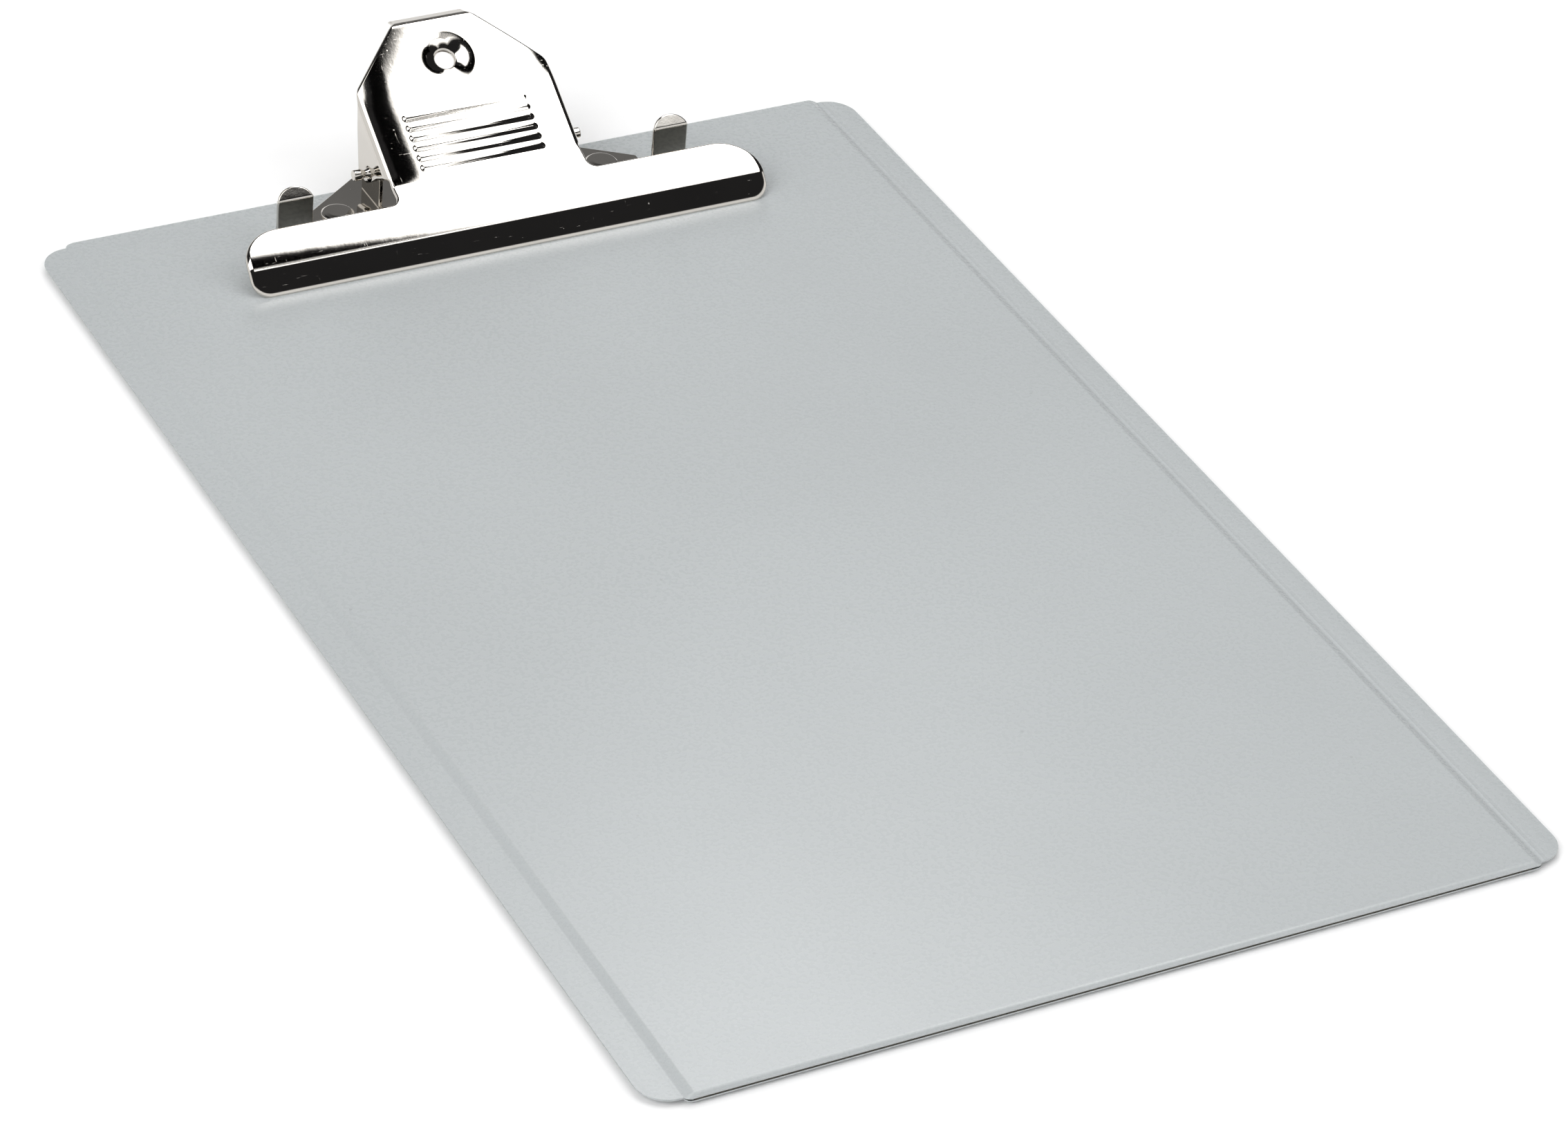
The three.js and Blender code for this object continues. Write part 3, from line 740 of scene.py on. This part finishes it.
def jaw_relief(x, along):
    """Ribs, the hanging hole's dish and the lever's turned-down rim."""
    rise = np.zeros_like(x)
    fuller = smooth(x, *RIB_FADE_X) * (1 - smooth(along, *RIB_FADE_ALONG))
    height = RIBS["low"] + (RIBS["high"] - RIBS["low"]) * fuller
    for k in range(RIBS["count"]):
        centre = RIBS["first"] + k * RIBS["pitch"]
        past = np.maximum(np.abs(x) - RIBS["half"] + RIBS["half_w"], 0)
        d = np.hypot(along - centre, past) / RIBS["half_w"]
        rise = rise + height * ridge(d)
    d = np.hypot(x, along - DISH["along"])
    rise = rise + dish_rise(d)
    outward_part = RIM["width"] - np.clip(rim_distance(x, along), 0, RIM["width"])
    on_lever = smooth(along, *RIM_FADE)
    # The top edge is rolled over: its slope grows to roll_slope and then stays there.
    into_roll = np.clip(along - (LEVER_LENGTH - RIM["roll_start"]), 0, None)
    turning = RIM["roll_start"] - RIM["roll"]
    curved = np.minimum(into_roll, turning)
    roll = RIM["roll_slope"] * (curved ** 2 / (2 * turning) + into_roll - curved)
    return rise - on_lever * RIM["fall"] * outward_part ** 2 - roll


def cross_fold(points, normals):
    """Crowns the lever and bends its sides down into the two flanges."""
    crowned = (CROWN_END - CROWN_START, CROWN_DEG)
    section = Path((0, 0), 0, [(CROWN_START, 0), crowned, (FLANGE_BEND, 90), (30, 90)])
    x, along, height = points.T
    side = np.sign(x)
    share = smooth(along, *CROWN_FADE)
    step = 0.05
    grid = np.arange(0, WIDEST_FLANGE + 3, step)
    lean = np.interp(grid, section.s, section.a)
    across, down, angle = np.zeros(len(x)), np.zeros(len(x)), np.zeros(len(x))
    # Points with the same share, to three places, are bent together.
    for k in np.unique(np.round(share, 3)):
        rows = np.where(np.abs(share - k) < 0.0006)[0]
        cos = np.concatenate(([0], np.cumsum(np.cos(lean[:-1] * k)) * step))
        sin = np.concatenate(([0], np.cumsum(np.sin(lean[:-1] * k)) * step))
        reach = np.abs(x[rows])
        across[rows] = np.interp(reach, grid, cos)
        down[rows] = np.interp(reach, grid, sin)
        angle[rows] = np.interp(reach, grid, lean) * k
    wide = np.abs(x) > WIDEST_FLANGE
    across[wide], down[wide], angle[wide] = np.abs(x[wide]), 0, 0
    cos, sin = np.cos(angle), np.sin(angle)
    bent = np.stack([side * (across + height * sin), along, height * cos - down], axis=1)
    nx, ny, nz = normals.T
    turned_x = side * (side * nx * cos + nz * sin)
    return bent, np.stack([turned_x, ny, nz * cos - side * nx * sin], axis=1)


LEVER_START = -1.1
RIB_MARGIN = 1.0
DISH_MARGIN = 0.2


def region(low, high, inner=-1.0, outer=math.inf):
    """A test for places with y from low to high and x from inner to outer, on either side."""
    return lambda c: low < c.y < high and inner < abs(c.x) < outer


def score_jaw(sheet):
    """Cuts the jaw's flat pattern finely wherever it will be bent or pressed."""
    roll_top = -(NECK_BEND / 2 + BAR_FLAT)
    fillet_top = roll_top - ROLL
    rib_low = RIBS["first"] - RIB_MARGIN
    rib_high = RIBS["first"] + RIBS["pitch"] * (RIBS["count"] - 1) + RIB_MARGIN
    over_ribs = RIBS["half"] + 1.5
    dish_reach = DISH["r"] + DISH_MARGIN
    dish_low, dish_high = DISH["along"] - dish_reach, DISH["along"] + dish_reach
    lever = region(LEVER_START, math.inf)
    middle = region(LEVER_START, math.inf, outer=LEVER_HALF_W)
    on_ribs = region(0, math.inf, outer=over_ribs)
    beside_ribs = region(0, math.inf, inner=over_ribs - 0.1)
    # Each row of cuts: from, to, how far apart and in which region.
    for low, high, step, within in (
        (fillet_top - FILLET, fillet_top, 0.06, None),
        (fillet_top, roll_top, 0.35, None),
        (-NECK_BEND / 2, NECK_BEND / 2, 0.15, None),
        (-1, rib_low - 0.3, 0.5, None),
        (rib_high, dish_low, 0.8, lever),
        (dish_high, LEVER_LENGTH - 0.4, 0.5, lever),
        (dish_low, dish_high, 0.32, middle),
        (rib_low, rib_high, 0.16, on_ribs),
        (rib_low, rib_high, 0.8, beside_ribs),
    ):
        score(sheet, 1, spread(low, high, step), within)
    bend_start = LEVER_HALF_W - FLANGE_R
    bend_end = bend_start + FLANGE_R * math.pi / 2 + 0.4
    for side in (1, -1):
        for low, high, step, within in (
            (CROWN_START, bend_start, 0.7, lever),
            (bend_start, bend_end, 0.22, lever),
            (RIBS["half"] - 1.0, RIBS["half"] + 0.2, 0.2, region(rib_low, rib_high)),
        ):
            score(sheet, 0, [side * x for x in spread(low, high, step)], within)
    in_dish = region(dish_low, dish_high, outer=CROWN_START)
    score(sheet, 0, spread(-dish_reach, dish_reach, 0.32), in_dish)
    rim = region(RIM_FADE[0], math.inf, outer=CROWN_START)
    score(sheet, 0, spread(-CROWN_START, CROWN_START, 0.9), rim)


def make_jaw(material):
    """The jaw and lever: one flat pattern, pressed, bent across and then folded along its section."""
    path, lip = jaw_path()
    pin_along = (PIN_Y - NECK[0]) * LEVER_COS + (PIN_Z - NECK[1]) * LEVER_SIN
    pin_out = (PIN_Y - NECK[0]) * LEVER_SIN - (PIN_Z - NECK[1]) * LEVER_COS
    loops = [jaw_outline(lip), circle(0, DISH["along"], DISH["hole"], 64)]
    loops += [circle(side * flange_u(pin_out), pin_along, PIN_R + PIN_PLAY, 32) for side in (1, -1)]

    def lip_edge(at):
        low, high = LIP_EDGE_FADE
        return 1 + (LIP_EDGE_REACH - 1) * (1 - smooth(at.y, lip + low, lip + high))

    sheet, stored = flat_sheet(loops, SHEET, EDGE_OVER, EDGE_UNDER, lip_edge)
    score_jaw(sheet)
    points, normals, faces = mesh_arrays(sheet, stored)
    points, normals = press(points, normals, jaw_relief)
    points, normals = cross_fold(points, normals)
    points, normals = fold(points, normals, path)
    jaw = finish_mesh("jaw_lever_plated", [(points, faces, normals)], material)
    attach(jaw, "jaw")
    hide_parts("jaw_lever")


# ---------- the base plate ----------
PLATE_FRONT_Y = 150.2
PLATE_REAR = {"y": 181.2, "half_w": 24.8, "slope": -0.698}
PLATE_T = SHEET - 0.02
TAB = {"x": 52.8, "half_w": 4.9, "y": 156.3, "bend_z": 13.6, "bend_r": 0.9, "lean": 45,
       "top": 3.4, "crown": 4.2}
EAR = {"y": 169.1, "half_w": 5.5, "outer_x": 26.2, "foot": 4.0, "bend_r": 0.63, "drop": 0.4}
FOOT = {"r": 0.73, "flat": 3.0, "slot": 1.3, "inset": 0.3}
TONGUE_START = 0.2
# The rounding of each piece's edges, above and below.
PLATE_EDGE = (0.3, 0.15)
TAB_EDGE = (0.45, 0.2)
EAR_EDGE = (0.25, 0.2)


def plate_part():
    """The flat plate: narrower at the back, with a step beside each stop's foot."""
    inner, outer = TAB["x"] - TAB["half_w"], TAB["x"] + TAB["half_w"]
    step_y = TAB["y"] + SHEET
    slant_y = PLATE_REAR["y"] + PLATE_REAR["slope"] * (inner - PLATE_REAR["half_w"])
    right = [
        (outer, PLATE_FRONT_Y, 1.5),
        (outer, step_y - FOOT["slot"]),
        (inner - FOOT["inset"], step_y - FOOT["slot"], 0.3),
        (inner - FOOT["inset"], slant_y, 0.8),
        (PLATE_REAR["half_w"], PLATE_REAR["y"], 2),
    ]
    holes = [circle(side * RIVET_X, RIVET_Y, RIVET_HOLE_R) for side in (1, -1)]
    sheet, stored = flat_sheet([rounded(mirrored(right)), *holes], PLATE_T, *PLATE_EDGE)
    points, normals, faces = mesh_arrays(sheet, stored)
    points[:, 2] += SHEET
    return points, faces, normals


def tongue_outline(half_w, straight, crown):
    """A flat tongue's outline: its sides run to `straight`, and an oval `crown` high ends it."""
    turns = np.linspace(0, math.pi, 33)
    end = [Vector((half_w * math.cos(a), straight + crown * math.sin(a))) for a in turns]
    return [Vector((half_w, TONGUE_START)), *end, Vector((-half_w, TONGUE_START))]


def tab_part(x):
    """A paper stop, folded up from the plate's edge, its tip leaning back."""
    lean = math.radians(TAB["lean"])
    corner = TAB["bend_r"] * math.tan(lean / 2)
    foot = FOOT["r"] * math.pi / 2
    up = TAB["bend_z"] - SHEET - FOOT["r"] - corner
    tip = TAB["top"] - corner
    turned_deg = 90 - TAB["lean"]
    spans = [(FOOT["flat"], 0), (foot, 90), (up, 90), (TAB["bend_r"] * lean, turned_deg),
             (tip + SHEET, turned_deg)]
    path = Path((TAB["y"] - FOOT["flat"] - FOOT["r"], SHEET), 0, spans)
    top = sum(length for length, _ in spans) - SHEET
    outline = tongue_outline(TAB["half_w"], top - TAB["crown"], TAB["crown"])
    sheet, stored = flat_sheet([outline], SHEET, *TAB_EDGE)
    lean_start = FOOT["flat"] + foot + up
    score(sheet, 1, spread(FOOT["flat"], FOOT["flat"] + foot, 0.14))
    score(sheet, 1, spread(lean_start, lean_start + TAB["bend_r"] * lean, 0.1))
    points, normals, faces = mesh_arrays(sheet, stored)
    points, normals = fold(points, normals, path)
    points[:, 0] += x
    return points, faces, normals


def ear_part(side):
    """A hinge ear, folded up from the plate, with a round top and the pin's hole."""
    foot, bend = EAR["foot"], EAR["bend_r"] * math.pi / 2
    inner_x = EAR["outer_x"] - SHEET
    rise = PIN_Z - SHEET - EAR["drop"]
    top = foot + bend + rise
    outline = tongue_outline(EAR["half_w"], top, EAR["half_w"])
    hole = circle(PIN_Y - EAR["y"], top, PIN_R + PIN_PLAY, 32)
    sheet, stored = flat_sheet([outline, hole], SHEET, *EAR_EDGE)
    score(sheet, 1, spread(foot, foot + bend, 0.1))
    points, normals, faces = mesh_arrays(sheet, stored)
    start = (inner_x - foot - EAR["drop"], SHEET - 0.01)
    path = Path(start, 0, [(foot, 0), (bend, 90), (30, 90)])
    points, normals = fold(points, normals, path)
    # The fold ran in Y and Z; the ear's own fold runs across, so X and Y change places.
    points = np.stack([side * points[:, 1], points[:, 0] + EAR["y"], points[:, 2]], axis=1)
    normals = np.stack([side * normals[:, 1], normals[:, 0], normals[:, 2]], axis=1)
    if side > 0:
        faces = [face[::-1] for face in faces]
    return points, faces, normals


def make_base(material):
    parts = [plate_part()]
    parts += [tab_part(side * TAB["x"]) for side in (1, -1)]
    parts += [ear_part(side) for side in (1, -1)]
    base = finish_mesh("base_plate_plated", parts, material)
    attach(base, "board")
    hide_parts("base_plate")


# ---------- pin, rivets and washers ----------
PIN_WAIST_X = 28.7
PIN_WAIST_R = 1.0
# The radius that eases the corners of each turned piece.
PIN_EASE = 0.35
RIVET_EASE = 0.22
WASHER_EASE = 0.12


def make_pin(material):
    """The hinge pin: a plain rod, nipped in just outside each flange."""
    half = [(PIN_R, PIN_WAIST_X - 0.9), (PIN_WAIST_R, PIN_WAIST_X - 0.1), (PIN_WAIST_R, PIN_WAIST_X + 0.3),
            (PIN_R, PIN_WAIST_X + 1.2), (PIN_R, PIN_HALF)]
    line = [(0, -PIN_HALF)] + [(r, -x) for r, x in reversed(half)] + half + [(0, PIN_HALF)]
    part = turned(eased(line, PIN_EASE, 5), (0, PIN_Y, PIN_Z), "X", 48)
    pin = finish_mesh("hinge_pin_plated", [part], material)
    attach(pin, "board")
    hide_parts("hinge_pin")


RIVET = {"head_r": 4.3, "head_h": 0.9, "shank_r": 2.2, "bore": 1.3, "roll_r": 3.5}
WASHER = {"inner": 2.5, "outer": 5.0, "top": -1.5, "bottom": -2.0}


def rivet_part(x):
    """A flat-headed tubular rivet whose lower end is rolled out over its washer."""
    top = SHEET + 0.02
    low = -BOARD_T + 0.06
    head_r, head_h, shank_r, bore, roll = RIVET.values()
    under = WASHER["bottom"] - 0.04
    line = [
        (0, -0.8), (bore, -0.8), (bore, low + 0.45), (bore + 0.45, low),
        (roll - 0.35, low), (roll, low + 0.2), (roll, under), (shank_r, under),
        (shank_r, top), (head_r, top), (head_r, top + 0.35), (head_r - 0.55, top + 0.72),
        (head_r - 1.9, top + head_h), (0, top + head_h),
    ]
    return turned(eased(line, RIVET_EASE), (x, RIVET_Y, 0), "Z")


def washer_part(x):
    """A plain flat washer. Its outline starts and ends on a flat, so that every corner is eased."""
    inner, outer, top, bottom = WASHER.values()
    line = [(inner + 0.6, bottom), (outer, bottom), (outer, top), (inner, top), (inner, bottom),
            (inner + 0.6, bottom)]
    return turned(eased(line, WASHER_EASE), (x, RIVET_Y, 0), "Z")


def make_rivets(plated, zinc):
    for side, hand in ((-1, "left"), (1, "right")):
        rivet = finish_mesh(f"rivet_{hand}_plated", [rivet_part(side * RIVET_X)], plated)
        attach(rivet, "board")
        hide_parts(f"rivet_{hand}")
        washer = finish_mesh(f"washer_{hand}_zinc", [washer_part(side * RIVET_X)], zinc)
        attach(washer, "board")
        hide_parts(f"rivet_washer_{hand}")


# ---------- the torsion spring ----------
SPRING = {"wire": 0.75, "coil_r": 2.75, "turns": 4, "inner": 6.0, "pitch": 1.75, "play": 0.1}
# Each point of the arm on the plate: how far behind the pin, and how far above the plate.
ARM = [(11, 0), (8.5, 0), (5, 1.2)]
# The bridge: its two places up the lever, its gap below it, its drop and how much it narrows.
BRIDGE = {"low": 17, "high": 22, "gap": 0.5, "drop": 2.0, "narrow": 0.6}
# Heights from the pin's axis, below and above it, which make_spring turns into two points, low and high.
SPRING_BLEND = (-1.5, 3.4)
# A tube's radius at its first two rings, as a share of the rest.
TUBE_ENDS = (0.55, 0.85)


def spring_line():
    """Centre line: an arm on the plate, a coil, the bridge under the lever and the same mirrored."""
    start = -math.pi / 2
    lever_side = math.radians(90 + LEVER_DEG)
    sweep = SPRING["turns"] * 2 * math.pi + (lever_side - start) - 2 * math.pi
    steps = 30 * SPRING["turns"]
    coil = []
    for k in range(steps + 1):
        angle = start - sweep * k / steps
        x = SPRING["inner"] + SPRING["pitch"] * SPRING["turns"] * (1 - k / steps)
        y = PIN_Y + SPRING["coil_r"] * math.cos(angle)
        coil.append((x, y, PIN_Z + SPRING["coil_r"] * math.sin(angle)))
    arm_z = SHEET + SPRING["wire"] + SPRING["play"]
    arm = [(coil[0][0], PIN_Y + behind, arm_z + above) for behind, above in ARM]

    def on_lever(along, out):
        y = NECK[0] + along * LEVER_COS - out * LEVER_SIN
        return y, NECK[1] + along * LEVER_SIN + out * LEVER_COS

    under = -SHEET - SPRING["wire"] - BRIDGE["gap"]
    low, high = on_lever(BRIDGE["low"], under - BRIDGE["drop"]), on_lever(BRIDGE["high"], under)
    bridge = [(SPRING["inner"], *low), (SPRING["inner"] - BRIDGE["narrow"], *high)]
    right = arm + coil + bridge
    return right + [(-x, y, z) for x, y, z in reversed(right)]


def even_curve(points, spacing):
    """A smooth curve through the points, sampled at an even spacing."""
    p = np.array(points)
    gaps = np.sqrt(np.linalg.norm(np.diff(p, axis=0), axis=1))
    knots = np.concatenate(([0], np.cumsum(gaps)))
    out = []
    for i in range(len(p) - 1):
        before, after = max(i - 1, 0), min(i + 2, len(p) - 1)
        span = knots[i + 1] - knots[i]
        start = (p[i + 1] - p[before]) / (knots[i + 1] - knots[before]) * span
        end = (p[after] - p[i]) / (knots[after] - knots[i]) * span
        for t in np.linspace(0, 1, 12, endpoint=False):
            h = (2 * t ** 3 - 3 * t ** 2 + 1, t ** 3 - 2 * t ** 2 + t,
                 3 * t ** 2 - 2 * t ** 3, t ** 3 - t ** 2)
            out.append(h[0] * p[i] + h[1] * start + h[2] * p[i + 1] + h[3] * end)
    out.append(p[-1])
    out = np.array(out)
    reach = np.concatenate(([0], np.cumsum(np.linalg.norm(np.diff(out, axis=0), axis=1))))
    even = np.arange(0, reach[-1], spacing)
    return np.stack([np.interp(even, reach, out[:, k]) for k in range(3)], axis=1)


def tube(line, radius, segments=16):
    """A closed tube with eased ends along a line."""
    tangents = np.gradient(line, axis=0)
    tangents /= np.linalg.norm(tangents, axis=1, keepdims=True)
    side = np.cross(tangents[0], (1, 0, 0))
    side /= np.linalg.norm(side)
    points, normals, faces, rows = [], [], [], []
    for i, (at, tangent) in enumerate(zip(line, tangents)):
        side = side - tangent * side.dot(tangent)
        side /= np.linalg.norm(side)
        other = np.cross(tangent, side)
        near = min(i, len(line) - 1 - i)
        scale = TUBE_ENDS[near] if near < len(TUBE_ENDS) else 1.0
        rows.append(len(points))
        for k in range(segments):
            turn = 2 * math.pi * k / segments
            direction = side * math.cos(turn) + other * math.sin(turn)
            points.append(at + direction * radius * scale)
            normals.append(direction)
    for a, b in zip(rows, rows[1:]):
        for k in range(segments):
            j = (k + 1) % segments
            faces.append((a + k, a + j, b + j, b + k))
    faces.append(tuple(rows[0] + k for k in reversed(range(segments))))
    faces.append(tuple(rows[-1] + k for k in range(segments)))
    return np.array(points), faces, np.array(normals)


def make_spring(material):
    """The double torsion spring: one wire tube for its arms, coils and bridge."""
    part = tube(even_curve(spring_line(), spacing=0.35), SPRING["wire"])
    spring = finish_mesh("torsion_spring_wire", [part], material)
    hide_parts("torsion_spring")
    low, high = place([(0, PIN_Y, PIN_Z + away) for away in SPRING_BLEND])
    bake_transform(spring)


# ---------- studio ----------
def add_panel(name, centre, size, material, height, turn=0.0):
    """A level rectangle, turned in degrees about the vertical."""
    mesh = bpy.data.meshes.new(name)
    w, h = size[0] / 2, size[1] / 2
    mesh.from_pydata([(-w, -h, 0), (w, -h, 0), (w, h, 0), (-w, h, 0)], [], [(0, 1, 2, 3)])
    mesh.materials.append(material)
    panel = bpy.data.objects.new(name, mesh)
    panel.location = (*centre, height)
    panel.rotation_euler = (0, 0, math.radians(turn))
    bpy.context.scene.collection.objects.link(panel)
    return panel


def glow_material(name, size, soft, strength, taper):
    """An even glow that fades out over `soft` at each edge; its right side leans out by `taper`."""
    material = bpy.data.materials.new(name)
    material.use_nodes = True
    material.node_tree.nodes.clear()
    nodes = Nodes(material.node_tree)
    split = nodes.add("ShaderNodeSeparateXYZ")
    nodes.link(nodes.add("ShaderNodeTexCoord").outputs["Object"], split.inputs["Vector"])
    x, y = split.outputs["X"], split.outputs["Y"]
    right = nodes.math("SUBTRACT", x, nodes.math("MULTIPLY", y, taper))
    across = nodes.math("MAXIMUM", nodes.math("MULTIPLY", x, -1.0), right)
    fade_x = nodes.ramp(across, size[0] / 2 - soft, size[0] / 2, 1, 0)
    fade_y = nodes.ramp(nodes.math("ABSOLUTE", y, 0), size[1] / 2 - soft, size[1] / 2, 1, 0)
    share = nodes.math("MULTIPLY", fade_x, fade_y)
    emission = nodes.add("ShaderNodeEmission")
    nodes.link(nodes.math("MULTIPLY", share, strength), emission.inputs["Strength"])
    output = nodes.add("ShaderNodeOutputMaterial")
    nodes.link(emission.outputs["Emission"], output.inputs["Surface"])
    return material


def add_softbox(name, centre, size, soft, strength, turn, taper=0.0):
    """A soft-edged glowing panel overhead, which only mirrors in what is glossy."""
    glow = glow_material(name, size, soft, strength, taper)
    whole = (size[0] + taper * size[1], size[1])
    softbox = add_panel(name, centre, whole, glow, SOFTBOX_Z, turn)
    softbox.visible_camera = False
    softbox.visible_diffuse = False
    softbox.visible_shadow = False


def add_fill(name, centre, size, power):
    """A soft light that doesn't show in the plating."""
    data = bpy.data.lights.new(name, "AREA")
    data.size = size
    data.energy = power
    light = bpy.data.objects.new(name, data)
    light.location = centre
    light.rotation_mode = "QUATERNION"
    light.rotation_quaternion = (-Vector(centre)).to_track_quat("-Z", "Y")
    light.visible_glossy = False
    bpy.context.scene.collection.objects.link(light)


def make_world():
    """A pale horizon under a dark ceiling, pale on the far left too, for the plating to mirror."""
    world = bpy.data.worlds.new("studio")
    world.use_nodes = True
    bpy.context.scene.world = world
    nodes = Nodes(world.node_tree)
    background = world.node_tree.nodes["Background"]
    split = nodes.add("ShaderNodeSeparateXYZ")
    nodes.link(nodes.add("ShaderNodeTexCoord").outputs["Generated"], split.inputs["Vector"])
    east, north, height = (split.outputs[axis] for axis in "XYZ")
    # The horizon band is lower on the right behind the clip, and higher in front of it.
    to_right = nodes.ramp(east, 0.3, 0.85, 0.0, 0.40)
    behind = nodes.math("MULTIPLY", to_right, nodes.ramp(north, -0.12, 0.06))
    lift = nodes.math("ADD", behind, nodes.ramp(north, -0.3, 0.0, -0.22, 0.0))
    horizon = nodes.ramp(nodes.math("ADD", height, lift), 0.18, 0.34, 1, 0)
    left_wall = nodes.ramp(east, -0.60, -0.42, 1, 0)
    to_back = nodes.ramp(north, 0.45, 0.65, 0, 0.17)
    back_wall = nodes.math("MULTIPLY", to_back, nodes.ramp(height, 0.55, 0.80, 1, 0))
    bright = nodes.math("MAXIMUM", nodes.math("MAXIMUM", horizon, left_wall), back_wall)
    nodes.link(nodes.mix(bright, CEILING, HORIZON), background.inputs["Color"])
    background.inputs["Strength"].default_value = 1.0


SOFTBOX_Z = 0.70
FLOOR_Z = -0.0004
# Distances from the middle over which the floor fades into the horizon.
FLOOR_FADE = (0.8, 2.0)
CEILING = (0.020, 0.020, 0.021)
HORIZON = (0.95, 0.95, 0.95)


def make_studio():
    """The white floor, the horizon, three overhead softboxes and four fills."""
    add_panel("studio_floor", (0, 0), (9, 9), floor_material(), FLOOR_Z)
    make_world()
    board_y = ORIGIN[1]
    add_softbox("softbox_top", (0.331, board_y + 0.240), (0.327, 0.78), soft=0.06, strength=5.5,
                turn=17.5, taper=0.2)
    add_softbox("softbox_front", (0.323, board_y - 0.171), (0.42, 0.30), soft=0.08, strength=2.5, turn=-9)
    add_softbox("softbox_left", (-0.205, board_y + 0.10), (0.59, 0.30), soft=0.03, strength=3.0, turn=0)
    add_fill("fill_high", (0.25, 0.45, 1.9), size=1.8, power=19)
    add_fill("fill_left", (-2.0, -0.9, 2.0), size=2.3, power=46)
    add_fill("fill_right", (1.1, -0.7, 1.2), size=1.4, power=10)
    add_fill("rim_back", (0.9, 2.2, 0.85), size=0.6, power=14)


# ---------- make everything ----------
make_camera()
film = film_material()
nickel = nickel_material()
wire = wire_material()
zinc = washer_material()
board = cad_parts["board_core"]
board.data.materials.clear()
board.data.materials.append(paperboard_material())

make_film("film_paper_side", "front_cover", True, RIVET_HOLE_R, film)
make_film("film_back", "back_cover", False, WASHER_HOLE_R, film)
make_base(nickel)
make_jaw(nickel)
make_pin(nickel)
make_rivets(nickel, zinc)
make_spring(wire)
make_studio()
bpy.context.scene.view_settings.view_transform = "Standard"
